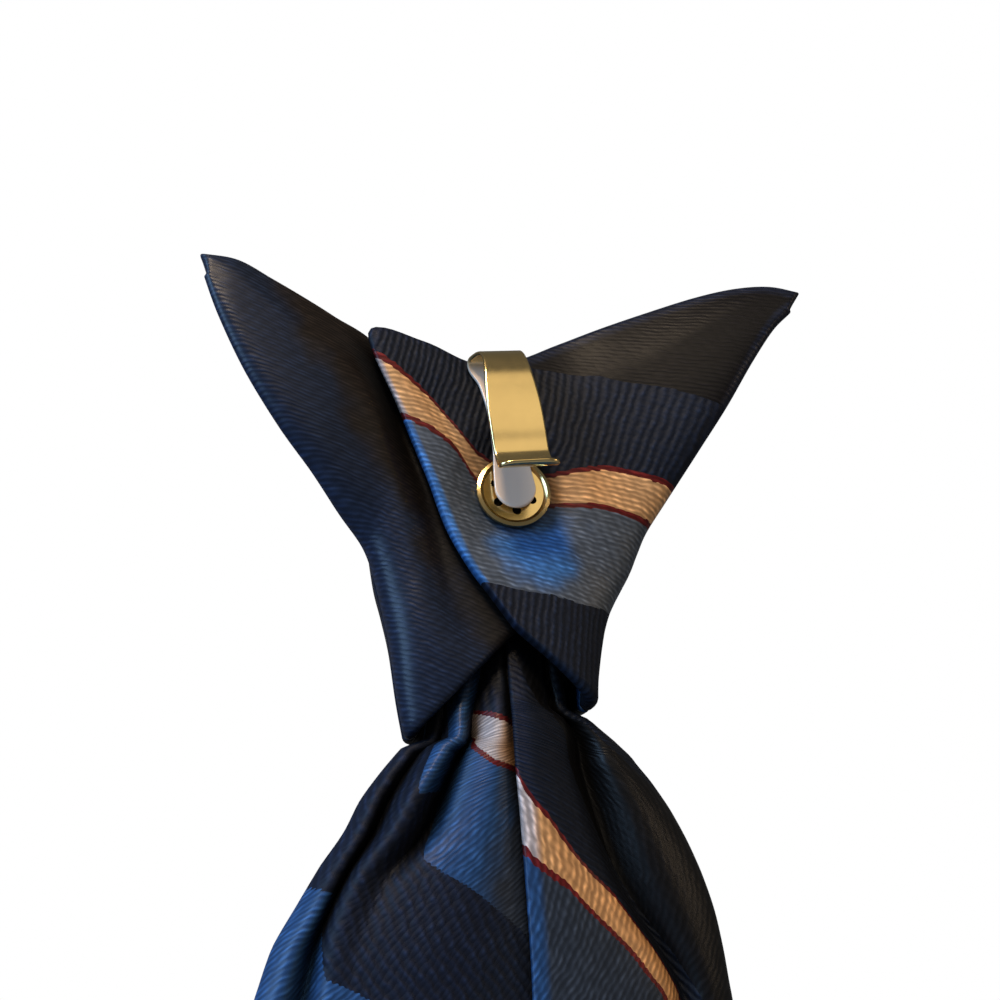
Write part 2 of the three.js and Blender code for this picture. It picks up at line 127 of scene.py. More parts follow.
def smooth(x, low, high):
    """From 0 at low to 1 at high, easing in and out."""
    t = np.clip((x - low) / (high - low), 0, 1)
    return t * t * (3 - 2 * t)


def along(values, u):
    """A smooth value at each u, from 0 at the first row to 1 at the last."""
    v = np.asarray(values, float)
    at = np.clip(u, 0, 1) * (len(v) - 1)
    i = np.minimum(at.astype(int), len(v) - 2)
    f = at - i
    b, c = v[i], v[i + 1]
    a = np.where(i > 0, v[np.maximum(i - 1, 0)], 2 * b - c)
    d = np.where(i + 2 < len(v), v[np.minimum(i + 2, len(v) - 1)], 2 * c - b)
    return b + 0.5 * f * (c - a + f * (2 * a - 5 * b + 4 * c - d + f * (3 * (b - c) + d - a)))


def at_each(columns, table, u):
    """The named columns of a table at each u."""
    return {name: along(values, u) for name, values in zip(columns, zip(*table))}


def steps_with_rims(count, rim_share, rim_steps=5):
    """Steps from 0 to 1, with more of them in the two rims, where cloth turns round its edge."""
    rim = rim_share * (1 - np.cos(np.linspace(0, math.pi / 2, rim_steps)))
    inner = np.linspace(rim_share, 1 - rim_share, count)[1:-1]
    return np.concatenate([rim, inner, 1 - rim[::-1]])


def grid_normals(points):
    """The unit normal at each point of a grid."""
    down = np.gradient(points, axis=0)
    across = np.gradient(points, axis=1)
    normals = np.cross(across, down)
    return normals / np.maximum(np.linalg.norm(normals, axis=2, keepdims=True), 1e-9)


def run_along(points, axis):
    """How far each point of a grid lies from the start of its own line, measured along the line."""
    lengths = np.linalg.norm(np.diff(points, axis=axis), axis=2)
    return np.insert(np.cumsum(lengths, axis=axis), 0, 0, axis=axis)


def run_round(line):
    """The same for the points of one line."""
    return np.insert(np.cumsum(np.linalg.norm(np.diff(line, axis=0), axis=1)), 0, 0)


def edge_distance(points, axis):
    """How far each point of a grid lies from the nearer end of its own line, measured along the line."""
    run = run_along(points, axis)
    total = np.take(run, [-1], axis=axis)
    return np.minimum(run, total - run)


def rounded(distance, radius):
    """Half the thickness at a distance from a round edge of that radius."""
    t = np.clip(distance / radius, 0, 1)
    return radius * np.sqrt(1 - (1 - t) ** 2)


def shell(name, points, thickness, maps):
    """A closed sheet of cloth round a grid of points, with round edges. maps gives each UV map's name and grid."""
    high, wide = points.shape[:2]
    half = thickness / 2
    room = np.minimum(edge_distance(points, 0), edge_distance(points, 1))
    offset = grid_normals(points) * rounded(room, half)[..., None]
    offset[[0, -1]] = 0
    offset[:, [0, -1]] = 0
    index = np.arange(high * wide).reshape(high, wide)
    under = index + high * wide
    under[[0, -1]] = index[[0, -1]]
    under[:, [0, -1]] = index[:, [0, -1]]
    places = np.concatenate([(points + offset).reshape(-1, 3), (points - offset).reshape(-1, 3)])
    a, b, c, d = index[:-1, :-1], index[:-1, 1:], index[1:, 1:], index[1:, :-1]
    e, f, g, h = under[:-1, :-1], under[:-1, 1:], under[1:, 1:], under[1:, :-1]
    faces = np.concatenate(
        [np.stack([a, b, c, d], axis=2).reshape(-1, 4), np.stack([e, h, g, f], axis=2).reshape(-1, 4)]
    )
    used = np.unique(faces)
    renumber = np.zeros(len(places), int)
    renumber[used] = np.arange(len(used))
    doubled = {key: np.concatenate([grid.reshape(-1, 2)] * 2) for key, grid in maps.items()}
    return new_piece(name, places[used], renumber[faces], {key: uv[used] for key, uv in doubled.items()})


def new_piece(name, places, faces, maps=None):
    """A smooth mesh object from points in millimetres, turned so that its faces point out."""
    corners = to_frame(places)
    a, b, c = (corners[faces[:, i]] for i in range(3))
    d = corners[faces[:, -1]]
    volume = (a * np.cross(b, c)).sum() + (a * np.cross(c, d)).sum()
    if volume < 0:
        faces = faces[:, ::-1]
    mesh = bpy.data.meshes.new(name)
    mesh.from_pydata(corners.tolist(), [], faces.tolist())
    mesh.polygons.foreach_set("use_smooth", [True] * len(mesh.polygons))
    loops = np.zeros(len(mesh.loops), int)
    mesh.loops.foreach_get("vertex_index", loops)
    for key, uv in (maps or {}).items():
        layer = mesh.uv_layers.new(name=key)
        layer.data.foreach_set("uv", uv[loops].astype(np.float32).ravel())
    mesh.update()
    piece = bpy.data.objects.new(name, mesh)
    bpy.context.scene.collection.objects.link(piece)
    return piece


# The bands, as in the CAD part
BAND_COLUMNS = ["edgeX", "edgeZ", "edgeY", "middleY", "outX", "outZ", "outY", "cover"]
UNDER = UNDER_LEVEL / KNOT_DEPTH
PANEL = PANEL_LEVEL / KNOT_DEPTH
SIDE = SIDE_LEVEL / KNOT_DEPTH
LEFT_ROWS = [
    [-1.03, 0.512, -0.26, -0.26, -1.0, 0.455, -0.25, 0],
    [-0.92, 0.518, -0.22, -0.25, -0.93, 0.35, -0.19, 0],
    [-0.812, 0.492, -0.16, -0.21, -0.84, 0.231, -0.12, 0],
    [-0.714, 0.466, -0.1, -0.16, -0.724, 0.111, -0.03, 0],
    [-0.61, 0.441, -0.01, -0.1, -0.614, 0.019, 0.08, 0],
    [-0.476, 0.412, 0.12, -0.02, -0.52, -0.063, 0.21, 0.12],
    [-0.333, 0.3, UNDER, 0.05, -0.438, -0.13, 0.32, 0.3],
    [-0.226, 0.167, UNDER, 0.08, -0.395, -0.204, SIDE, 0.36],
    [-0.143, 0.028, UNDER, 0.1, -0.365, -0.285, SIDE, 0.4],
    [-0.076, -0.111, UNDER, 0.1, -0.335, -0.374, SIDE, 0.42],
    [0, -0.222, UNDER, 0.12, -0.307, -0.493, SIDE, 0.36],
    [0.062, -0.307, UNDER, 0.15, -0.279, -0.591, SIDE, 0.24],
]
RIGHT_ROWS = [
    [0.995, 0.607, -0.35, -0.35, 0.95, 0.55, -0.34, 0],
    [0.893, 0.626, -0.31, -0.32, 0.876, 0.496, -0.28, 0],
    [0.774, 0.624, -0.24, -0.28, 0.796, 0.404, -0.2, 0],
    [0.643, 0.6, -0.17, -0.22, 0.706, 0.281, -0.11, 0],
    [0.483, 0.556, -0.09, -0.14, 0.6, 0.148, 0.03, 0],
    [0.312, 0.501, -0.02, -0.06, 0.516, 0.041, 0.18, 0],
    [0.155, 0.446, PANEL, 0, 0.45, -0.044, 0.28, 0],
    [0, 0.381, PANEL, 0.03, 0.418, -0.104, 0.33, 0],
    [-0.155, 0.363, PANEL, 0.04, 0.394, -0.152, SIDE, 0],
    [-0.321, 0.395, -0.01, PANEL, 0.366, -0.193, SIDE, 0],
    [-0.49, 0.394, -0.07, PANEL, 0.34, -0.23, SIDE, 0],
    [-0.379, 0.202, 0.01, PANEL, 0.317, -0.267, SIDE, 0],
    [-0.276, 0.019, 0.03, PANEL, 0.298, -0.311, SIDE, 0],
    [-0.21, -0.107, 0.04, PANEL, 0.285, -0.356, SIDE, 0],
    [-0.148, -0.191, 0.045, PANEL, 0.274, -0.404, SIDE, 0],
    [-0.076, -0.263, 0.045, PANEL, 0.265, -0.452, SIDE, 0],
    [0.005, -0.344, 0.045, PANEL, 0.26, -0.507, SIDE, 0],
]
SETTLE = 0.35  # the share of a row in which it settles from its edge's level to the middle's
ROLL_POWER = 4  # how late it rolls round
ROLL_SPACING = 1.7


def dimple(x, z):
    """How far the washer pulls the cloth in."""
    edge = WASHER_RADIUS + GAP
    return DIMPLE_DEPTH * (1 - smooth(np.hypot(x, z), edge, edge + DIMPLE_SLOPE))


def band_grid(table, size):
    """A band's points: each row runs from its folded edge over the middle and rolls round to its outer side."""
    v = at_each(BAND_COLUMNS, table, steps_with_rims(size[0], BAND_RIMS[0])[:, None])
    t = 1 - (1 - steps_with_rims(size[1], BAND_RIMS[1])[None, :]) ** ROLL_SPACING
    turn = 1 - (1 - t**ROLL_POWER) ** (1 / ROLL_POWER)
    x = WING_REACH * lerp(v["edgeX"], v["outX"], t)
    z = KNOT_HEIGHT * lerp(v["edgeZ"], v["outZ"], t)
    settled = smooth(t, v["cover"], v["cover"] + SETTLE)
    level = lerp(v["edgeY"], v["middleY"], settled) + (v["outY"] - v["middleY"]) * turn
    return np.stack([x, KNOT_DEPTH * level + dimple(x, z), z], axis=2)


# The knot's front, as in the CAD part
FRONT_COLUMNS = ["leftX", "leftZ", "rightX", "rightZ", "sideY", "frontY"]
FRONT_ROWS = [
    [-0.279, -0.591, 0.26, -0.507, SIDE, 0.68],
    [-0.307, -0.493, 0.269, -0.426, SIDE, 0.73],
    [-0.335, -0.374, 0.291, -0.333, SIDE, 0.79],
    [-0.365, -0.285, 0.321, -0.259, SIDE, 0.84],
    [-0.395, -0.204, 0.366, -0.193, SIDE, 0.88],
    [-0.425, -0.074, 0.408, -0.074, 0.34, 0.93],
    [-0.45, 0.074, 0.438, 0.074, 0.31, 0.97],
    [-0.466, 0.204, 0.46, 0.204, 0.28, 0.98],
    [-0.471, 0.287, 0.471, 0.287, 0.26, 0.88],
    [-0.452, 0.326, 0.457, 0.326, 0.25, 0.62],
    [-0.438, 0.331, 0.443, 0.331, 0.245, 0.38],
]
FRONT_POWER = 3  # how square its sections are


def front_grid(size):
    """The points of the knot's front wrap, from its left side round the front to its right side."""
    v = at_each(FRONT_COLUMNS, FRONT_ROWS, steps_with_rims(size[0], FRONT_RIMS[0])[:, None])
    angle = math.pi * steps_with_rims(size[1], FRONT_RIMS[1])[None, :]
    cos = np.cos(angle)
    share = 0.5 - 0.5 * np.sign(cos) * np.abs(cos) ** (2 / FRONT_POWER)
    out = np.abs(np.sin(angle)) ** (2 / FRONT_POWER)
    x = WING_REACH * lerp(v["leftX"], v["rightX"], share)
    z = KNOT_HEIGHT * lerp(v["leftZ"], v["rightZ"], share)
    y = KNOT_DEPTH * lerp(v["sideY"], v["frontY"], out) + GAP
    return np.stack([x, y + 0 * x, z], axis=2)


# The blade, as in the CAD part. Each row has a height, and how far the left and the right edge reach
BLADE_ROWS = [
    [-0.29, 0.3, 0.28],
    [-0.4, 0.315, 0.29],
    [-0.47, 0.325, 0.3],
    [-0.512, 0.335, 0.315],
    [-0.535, 0.34, 0.43],
    [-0.596, 0.358, 0.58],
    [-0.612, 0.45, 0.62],
    [-0.67, 0.54, 0.71],
    [-0.73, 0.621, 0.79],
    [-0.8, 0.685, 0.86],
    [-0.87, 0.775, 0.915],
    [-0.95, 0.861, 0.96],
    [-1.03, 0.945, 0.985],
    [-1.13, 1, 1.005],
    [-1.4, 1.06, 1.05],
    [-1.85, 1.1, 1.1],
    [-2.5, 1.135, 1.14],
    [-3.33, 1.17, 1.17],
]
FOLD_HEIGHTS = [0.29, 0.41, 0.52, 0.63, 0.76, 0.91, 1.11, 1.85, 3.33]
FOLD_PLACES = {
    "free": [0.29, 0.3, 0.29, 0.19, 0.22, 0.26, 0.31, 0.34, 0.34],
    "seam": [0.01, 0.01, 0.02, 0.03, 0.05, 0.07, 0.09, 0.09, 0.09],
    "panel": [-0.08, -0.08, -0.11, -0.14, -0.17, -0.24, -0.35, -0.35, -0.35],
    "shoulder": [-0.19, -0.2, -0.28, -0.35, -0.38, -0.53, -0.55, -0.53, -0.52],
    "deepValley": [-0.31, -0.33, -0.44, -0.455, -0.49, -0.65, -0.645, -0.62, -0.62],
    "roll": [-0.53, -0.55, -0.63, -0.63, -0.69, -0.79, -0.74, -0.72, -0.72],
    "leftValley": [-0.75, -0.76, -0.82, -0.835, -0.845, -0.86, -0.83, -0.83, -0.82],
    "leftFold": [-0.9, -0.9, -0.915, -0.94, -0.925, -0.92, -0.92, -0.925, -0.92],
    "rightFold": [0.86, 0.875, 0.905, 0.765, 0.74, 0.77, 0.88, 0.9, 0.895],
    "rightValley": [0.69, 0.71, 0.74, 0.585, 0.545, 0.595, 0.785, 0.81, 0.795],
    "slope": [0.49, 0.525, 0.56, 0.39, 0.39, 0.475, 0.675, 0.695, 0.68],
    "rightPanel": [0.23, 0.25, 0.25, 0.17, 0.195, 0.26, 0.365, 0.375, 0.365],
}
FOLD_LEVELS = {
    "seam": [0.38, 0.33, 0.245, 0.22, 0.22, 0.22, 0.23, 0.26, 0.28],
    "panel": [0.37, 0.305, 0.195, 0.16, 0.155, 0.16, 0.175, 0.24, 0.285],
    "shoulder": [0.385, 0.335, 0.245, 0.22, 0.22, 0.2, 0.195, 0.25, 0.285],
    "deepValley": [0.4, 0.375, 0.335, 0.365, 0.38, 0.245, 0.21, 0.26, 0.285],
    "roll": [0.38, 0.33, 0.225, 0.165, 0.16, 0.205, 0.23, 0.27, 0.285],
    "leftValley": [0.41, 0.385, 0.34, 0.355, 0.375, 0.375, 0.365, 0.32, 0.285],
    "leftFold": [0.41, 0.39, 0.34, 0.295, 0.26, 0.25, 0.26, 0.275, 0.285],
    "edge": [0.465, 0.47, 0.455, 0.43, 0.41, 0.385, 0.365, 0.345, 0.34],
    "front": [0.52, 0.54, 0.55, 0.545, 0.52, 0.485, 0.455, 0.42, 0.405],
    "rightFold": [0.39, 0.37, 0.32, 0.275, 0.265, 0.265, 0.27, 0.265, 0.245],
    "rightValley": [0.4, 0.395, 0.38, 0.42, 0.415, 0.39, 0.36, 0.28, 0.23],
    "slope": [0.33, 0.3, 0.25, 0.235, 0.23, 0.23, 0.23, 0.23, 0.215],
    "rightPanel": [0.295, 0.25, 0.16, 0.145, 0.14, 0.15, 0.16, 0.185, 0.205],
}
FREE_UNDER = 0.5  # how much deeper the left flap's free edge lies than the seam, in millimetres
LAP_IN = 0.1  # and the right flap's free edge than its panel
FRONT_SHARES = [-0.9, -0.6, -0.2, 0.2, 0.6, 0.9]
FRONT_CROWN = 0.6

# Where the places round the blade lie across the stripes of its cloth, in millimetres of cloth, at each height
CLOTH_COLUMNS = [
    "height", "free", "seam", "panel", "shoulder", "deepValley", "roll", "leftValley", "leftFold", "leftEdge",
    "rightEdge", "rightFold", "rightValley", "slope", "rightPanel", "rightFree",
]
CLOTH_ROWS = [
    [-15.7, -14, -14, -14, -14, -13, 3.5, 14, 14, 12, -55, -48, -32, -24, -19, -14],
    [-22, -8, -8, -8, -8, -7, 7.5, 18, 18, 16, -51, -43, -29, -20, -14.5, -10],
    [-25, -5, -5, -5, -4.8, -4, 9.5, 20, 19, 18, -48, -40.5, -26, -17, -12.3, -7.5],
    [-28, -1.6, -1.6, -1.2, -0.7, 0, 11.5, 22, 21, 20, -45.5, -39, -24, -14.5, -10, -5.3],
    [-31, 1.5, 1.5, 2, 3.4, 6, 13.5, 24, 22.5, 21, -44, -37.3, -22, -12.5, -8, -3.1],
    [-34, 4.6, 4.6, 5.1, 7.5, 14, 15.4, 25, 24, 23, -41, -34.5, -20, -11, -5.7, -0.8],
    [-38, 8.8, 8.8, 9.8, 11.5, 19, 18, 26, 26, 25, -38, -31.5, -18, -9, -2.3, 1.9],
    [-42, 11, 11, 12.8, 14.7, 21.5, 20.6, 27, 27.5, 27, -35, -29, -16, -6.3, 1.1, 4.5],
    [-46, 13.4, 13.4, 16.2, 18.4, 23, 23.2, 28.5, 29, 29, -32, -26, -13.5, -3.2, 4.2, 7],
    [-50, 16, 16, 19.6, 22, 24.5, 26, 30, 30.8, 30.8, -29, -23, -11, 0.5, 7.2, 10],
    [-55, 19, 19, 24, 26.5, 28, 29, 33, 34, 34, -26, -20, -7.5, 3.2, 11, 14],
    [-60, 22.5, 22.5, 27.5, 30, 31, 32, 36.3, 37.3, 37.3, -22, -16, -4, 5.4, 14.5, 18],
    [-75, 29, 33, 39, 42, 43.5, 45, 48, 49.5, 50, -7, -2, 6, 13, 23.5, 27],
]
TUCK_HEIGHTS = (-36.0, -31.0)
TUCK_PLACE = 0.03  # where the tucked cloth is, as a share of the way from the valley to the pleat
TUCK_WIDTH = 0.0005  # and half its width, as a share of the section
BIAS = math.cos(math.radians(45))  # the stripes run at 45 degrees to the blade
EVEN_START = -24.7  # where the free edge would cross the washer's height, if the stripes ran straight from there
EVEN_HEIGHT = -100.0  # the stripes run straight below this
EVEN_SHARE = 0.2  # how evenly the blade's sections are spaced
GATHER_POWER = 2.6  # and how close together they are in the gathers


def curve_through(points, s):
    """Points at the shares s of a centripetal curve through the given points."""
    p = np.asarray(points, float)
    p = np.concatenate([[2 * p[0] - p[1]], p, [2 * p[-1] - p[-2]]])
    at = np.clip(s, 0, 1) * (len(p) - 3)
    i = np.minimum(at.astype(int), len(p) - 4)
    f = (at - i)[:, None]
    knots = [np.linalg.norm(p[i + k + 1] - p[i + k], axis=1, keepdims=True) ** 0.5 for k in range(3)]
    before, here, after = (np.maximum(k, 1e-6) for k in knots)
    b, c = p[i + 1], p[i + 2]
    leave = ((b - p[i]) / before - (c - p[i]) / (before + here) + (c - b) / here) * here
    arrive = ((c - b) / here - (p[i + 3] - b) / (here + after) + (p[i + 3] - c) / after) * here
    return b + f * (leave + f * (3 * (c - b) - 2 * leave - arrive + f * (2 * (b - c) + leave + arrive)))


def at_height(heights, values, z):
    """A smooth value at the height z, from values at falling heights."""
    order = np.interp(-z, -np.asarray(heights), np.linspace(0, 1, len(heights)))
    return float(along(values, np.array([order]))[0])


def blade_ring(z, left, right):
    """The points of one section: from the left flap's free edge round both folds to the right flap's."""
    heights = [-KNOT_HEIGHT * height for height in FOLD_HEIGHTS]
    places = {name: at_height(heights, values, z) for name, values in FOLD_PLACES.items()}
    levels = {name: KNOT_DEPTH * at_height(heights, values, z) for name, values in FOLD_LEVELS.items()}

    def across(share):
        return share * FAN_HALF_WIDTH * (left if share < 0 else right)

    def point(name):
        return (across(places[name]), levels[name])

    return [
        (across(places["free"]), levels["seam"] + FREE_UNDER),
        *[point(name) for name in ("seam", "panel", "shoulder", "deepValley", "roll", "leftValley", "leftFold")],
        (across(-1), levels["edge"]),
        *[(across(share), levels["front"] - FRONT_CROWN * (1 - share**2)) for share in FRONT_SHARES],
        (across(1), levels["edge"]),
        *[point(name) for name in ("rightFold", "rightValley", "slope", "rightPanel")],
        (across(places["seam"]), levels["rightPanel"] + LAP_IN),
    ]


def gathered_lanes(z):
    """Where the points of a section in the gathers lie across the stripes, on from the left flap's free edge."""
    heights, *columns = zip(*CLOTH_ROWS)
    values = [at_height(heights, column, z) for column in columns]
    edges = CLOTH_COLUMNS.index("rightEdge") - 1
    left, right = values[:edges], [value + REPEAT for value in values[edges:]]
    shares = [(1 + share) / 2 for share in FRONT_SHARES]
    return np.array([*left, *[lerp(left[-1], right[0], share) for share in shares], *right])


def even_lanes(ring, z):
    """The same below the gathers, where the stripes run straight."""
    return EVEN_START + BIAS * (run_round(ring) - z)


def lanes_round(s, lanes, z):
    """The lanes at s. In the mouth, cloth is tucked away between the deep valley and the rolled pleat."""
    at = np.linspace(0, 1, len(lanes))
    k = CLOTH_COLUMNS.index("deepValley") - 1
    middle = lerp(at[k], at[k + 1], TUCK_PLACE)
    plain = lerp(lanes[k], lanes[k + 1], TUCK_PLACE)
    tucked = float(smooth(z, *TUCK_HEIGHTS))
    at = np.insert(at, k + 1, [middle - TUCK_WIDTH, middle + TUCK_WIDTH])
    lanes = np.insert(lanes, k + 1, [lerp(plain, lanes[k], tucked), lerp(plain, lanes[k + 1], tucked)])
    return np.interp(s, at, lanes)


def blade_grid(size):
    """The blade's points, and where each lies across the stripes."""
    top = KNOT_HEIGHT * FRONT_ROWS[-1][1]
    corner = top - TIE_LENGTH + TIP_SLOPE * BLADE_HALF_WIDTH
    heights = [KNOT_HEIGHT * row[0] for row in BLADE_ROWS] + [corner]
    widest = BLADE_HALF_WIDTH / FAN_HALF_WIDTH
    s = steps_with_rims(size[1], BLADE_RIM)
    grid = []
    stripes = []
    last_gathered = CLOTH_ROWS[-1][0]
    for z in blade_heights(heights[0], corner, size[0]):
        left, right = (at_height(heights, [row[k] for row in BLADE_ROWS] + [widest], z) for k in (1, 2))
        ring = blade_ring(z, left, right)
        gathered = gathered_lanes(max(z, last_gathered)) - BIAS * min(z - last_gathered, 0)
        lanes = lerp(gathered, even_lanes(ring, z), float(smooth(z, last_gathered, EVEN_HEIGHT)))
        curve = curve_through(ring, s)
        grid.append(np.column_stack([curve, np.full(len(s), z)]))
        stripes.append(lanes_round(s, lanes, z))
    return with_point(np.stack(grid), np.stack(stripes), corner)


def blade_heights(top, corner, sections):
    """Heights of the sections, closer together where the gathers are."""
    t = np.linspace(0, 1, sections)
    return top + (corner - top) * lerp(t**GATHER_POWER, t, EVEN_SHARE)


def with_point(grid, stripes, corner):
    """The grid and its stripes with rows added below the corners, which narrow to the pointed tip."""
    end = grid[-1]
    drop = TIP_SLOPE * np.maximum(BLADE_HALF_WIDTH - np.abs(end[:, 0]), 0)
    rows = []
    lanes = []
    for share in np.linspace(0, 1, TIP_ROWS)[1:]:
        row = end.copy()
        row[:, 2] = corner - drop * share
        rows.append(row)
        lanes.append(stripes[-1] + BIAS * drop * share)
    return np.concatenate([grid, np.stack(rows)]), np.concatenate([stripes, np.stack(lanes)])


# The cloth's colours, each as two copies with painted light: first painted as lit by the cool lamp, then painted
# as lit by the warm lamp
KNOT_COLOURS = {
    "satin": ((0.009, 0.012, 0.024), (0.005, 0.004, 0.0045)),
    "rib": ((0.0065, 0.0115, 0.0295), (0.006, 0.0105, 0.0235)),
    "red": ((0.12, 0.01, 0.012), (0.12, 0.01, 0.01)),
    "cream": ((0.46, 0.37, 0.35), (0.66, 0.36, 0.16)),
    "blue": ((0.045, 0.15, 0.38), (0.085, 0.1, 0.125)),
}
# The left wing's satin is the knot's satin with its own lighter painted colours, painted as lit by the cool lamp
# and by the warm lamp
WING_COLOURS = {"satin": ((0.0105, 0.0175, 0.0385), (0.0165, 0.0125, 0.0105))}
# The blade's colours: its satin, cream and blue are the knot's cloth painted darker, as painted shade on the blade
# below the knot, in cool-lit and warm-lit copies
BLADE_SHADED_COLOURS = {
    **KNOT_COLOURS,
    "satin": ((0.006, 0.008, 0.014), (0.006, 0.006, 0.007)),
    "cream": ((0.47, 0.4, 0.385), (0.6, 0.3, 0.12)),
    "blue": ((0.021, 0.066, 0.172), (0.028, 0.035, 0.048)),
}
# Where each material is painted as lit by the cool lamp: within the reach from the centre, in the frame's metres,
# and painted as lit by the warm lamp farther out. The knot's is a small painted pool of cool light below the
# washer
KNOT_PAINTED_LIGHT = ((0.0035, 0.004, -0.0205), 0.005)
WING_PAINTED_LIGHT = ((-0.264, 0.0, -0.184), 0.301)
BLADE_PAINTED_LIGHT = ((-0.085, 0.0, -0.045), 0.0849)
# The stripes across the cloth: where each starts on the cloth, in millimetres, its colour, and 1 if it is ribbed
STRIPES = [
    (-37.0, "satin", 0),
    (-13.0, "rib", 1),
    (0.0, "red", 0),
    (0.8, "cream", 0),
    (5.6, "red", 0),
    (6.4, "blue", 0),
    (18.4, "rib", 1),
    (30.4, "blue", 0),
    (42.4, "red", 0),
    (43.2, "cream", 0),
    (48.0, "red", 0),
    (48.8, "rib", 1),
    (61.8, "satin", 0),
]
REPEAT = 98.8
WEAVE_TO_MM = 100.0  # millimetres of cloth for each unit of its maps

# The weave, its painted light, and the metal
THREAD = (1.5, 0.62)  # one float of the satin's twill, long and high, in millimetres
KNOT = (0.75, 1.05)  # one knot of a rib, along it and across
TWILL_STEP = 0.37  # how far each row of floats is shifted, as a share of a float
RIB_STEP = 0.35  # the same for the knots of the ribs
FLOAT_SPREAD = 0.5  # how irregular the floats are, and the knots
KNOT_SPREAD = 0.6
FLOAT_ROWS = 0.35  # how much the rows of floats stand out, and the rows of knots
KNOT_ROWS = 0.45
WANDER_NOISE = (0.4, 2)  # the scale and detail of the threads' wandering
PAINTED_LIGHT_WAVES = 0.012  # how far the edge of the painted cool light wanders
PAINTED_LIGHT_NOISE = (130, 2)  # the scale and detail of its waves
PAINTED_LIGHT_EDGE = 0.0025  # half the edge's width
FOLD_PAINTED_COOL_LIGHT = (0.012, 0.024)  # along a folded edge the colour is painted as lit by the cool lamp up to here, a painted highlight, in the stripe map's measure
RAGGED = 0.004  # how far the stripes' edges wander, as a share of a repeat
SHADE = 0.3  # how much the colour changes along the cloth
DRIFT = 0.8  # how far the threads wander, in millimetres
FLOAT_RISE = 0.35  # how high the satin's floats stand, against the bump
KNOT_RISE = 1.5  # and the knots of the ribs
FLOAT_CONTRAST = 2.5  # how small the painted glint on each float is
KNOT_CONTRAST = 3.5
THREAD_GLINT = 1.5  # how much lighter the threads' tops are painted, as painted glints
THREAD_DARK = 0.48  # and how dark the colour is painted between the glints
STRIPED_ROUGHNESS = 0.4
RIB_ROUGHER = 0.2
PLAIN_ROUGHNESS = 0.38
CLOTH_SPECULAR = 0.18
FOLD_SHADE_REACH = 0.012  # how near other cloth must be to paint shade into a fold, in metres
# how strong the painted fold shade is
FOLD_SHADE_CONTRAST = 1.6
BUMP_STRENGTH = 0.6
BUMP_HEIGHT = 0.0002
GOLD = (0.82, 0.61, 0.27)
DARK_GOLD = 0.82  # the darkest tone of the gold, as a share of it
GOLD_ROUGHNESS = 0.14
UNEVEN = 0.1  # how much rougher the metal is in places
UNEVEN_NOISE = (900, 4)  # the scale and detail of that, and of the gold's tone
TONE_NOISE = (160, 2)
WORN_METAL = (0.8, 0.64, 0.52)
WORN_ROUGHNESS = 0.5
WORN_METALLIC = 0.45
WORN_LEVELS = (0.0012, 0.0026)  # the tongue's side of the clip's slot, in the frame's metres

# Where the lines of the right band run: across as a share of WING_REACH, and heights as shares of KNOT_HEIGHT
BAND_LINES = ["across", "satinEnd", "upperRed", "lowerRed", "blueEnd"]
RIGHT_LINES = [
    [-0.5, 0.62, 0.36, 0.25, -0.1],
    [-0.4, 0.55, 0.31, 0.185, -0.15],
    [-0.28, 0.49, 0.24, 0.15, -0.19],
    [-0.2, 0.44, 0.175, 0.11, -0.215],
    [-0.12, 0.4, 0.11, 0.03, -0.235],
    [0, 0.37, 0.06, -0.02, -0.25],
    [0.12, 0.36, 0.067, -0.02, -0.257],
    [0.22, 0.35, 0.083, -0.017, -0.272],
    [0.3, 0.345, 0.094, -0.02, -0.268],
    [0.4, 0.33, 0.087, -0.032, -0.26],
    [0.54, 0.31, 0.065, -0.045, -0.25],
    [1, 0.2, -0.02, -0.1, -0.3],
]
LINE_STARTS = [-13.0, 0.0, 6.4, 18.4]  # where these lines are on the cloth, in millimetres
LEAST_LINE_GAP = 0.5
PACE_ABOVE = 0.8  # millimetres of cloth for each of height above the first line
PACE_BELOW = 0.9  # and below the last one


def band_stripes(points):
    """Where each point of the right band lies across the cloth's stripes."""
    table = dict(zip(BAND_LINES, zip(*RIGHT_LINES)))
    x = points[..., 0] / WING_REACH
    lines = [np.interp(x, table["across"], table[name]) * KNOT_HEIGHT for name in BAND_LINES[1:]]
    z = points[..., 2]
    t = LINE_STARTS[0] - (z - lines[0]) * PACE_ABOVE
    for k in range(len(lines) - 1):
        part = (lines[k] - z) / np.maximum(lines[k] - lines[k + 1], LEAST_LINE_GAP)
        t = np.where(z < lines[k], lerp(LINE_STARTS[k], LINE_STARTS[k + 1], np.minimum(part, 1)), t)
    return np.where(z < lines[-1], LINE_STARTS[-1] + (lines[-1] - z) * PACE_BELOW, t)


def cloth_maps(points, stripes, angle, across=None):
    """The UV maps of a piece of cloth: its weave, turned by an angle, and its stripes with the way to its edge,
    which places the painted cool light along folded edges.
    """
    edge = edge_distance(points, 1)
    if across is None:
        run = run_along(points, 1)
        across = run - run[:, [run.shape[1] // 2]]
    down = points[..., 2]
    cos, sin = math.cos(angle), math.sin(angle)
    weave = np.stack([across * cos - down * sin, across * sin + down * cos], axis=2)
    lanes = np.stack([stripes / REPEAT, edge / WEAVE_TO_MM], axis=2)
    return {"Weave": weave / WEAVE_TO_MM, "Stripe": lanes}


def node(tree, kind, **settings):
    """A new shader node with the given settings."""
    made = tree.nodes.new(kind)
    for key, value in settings.items():
        setattr(made, key, value)
    return made


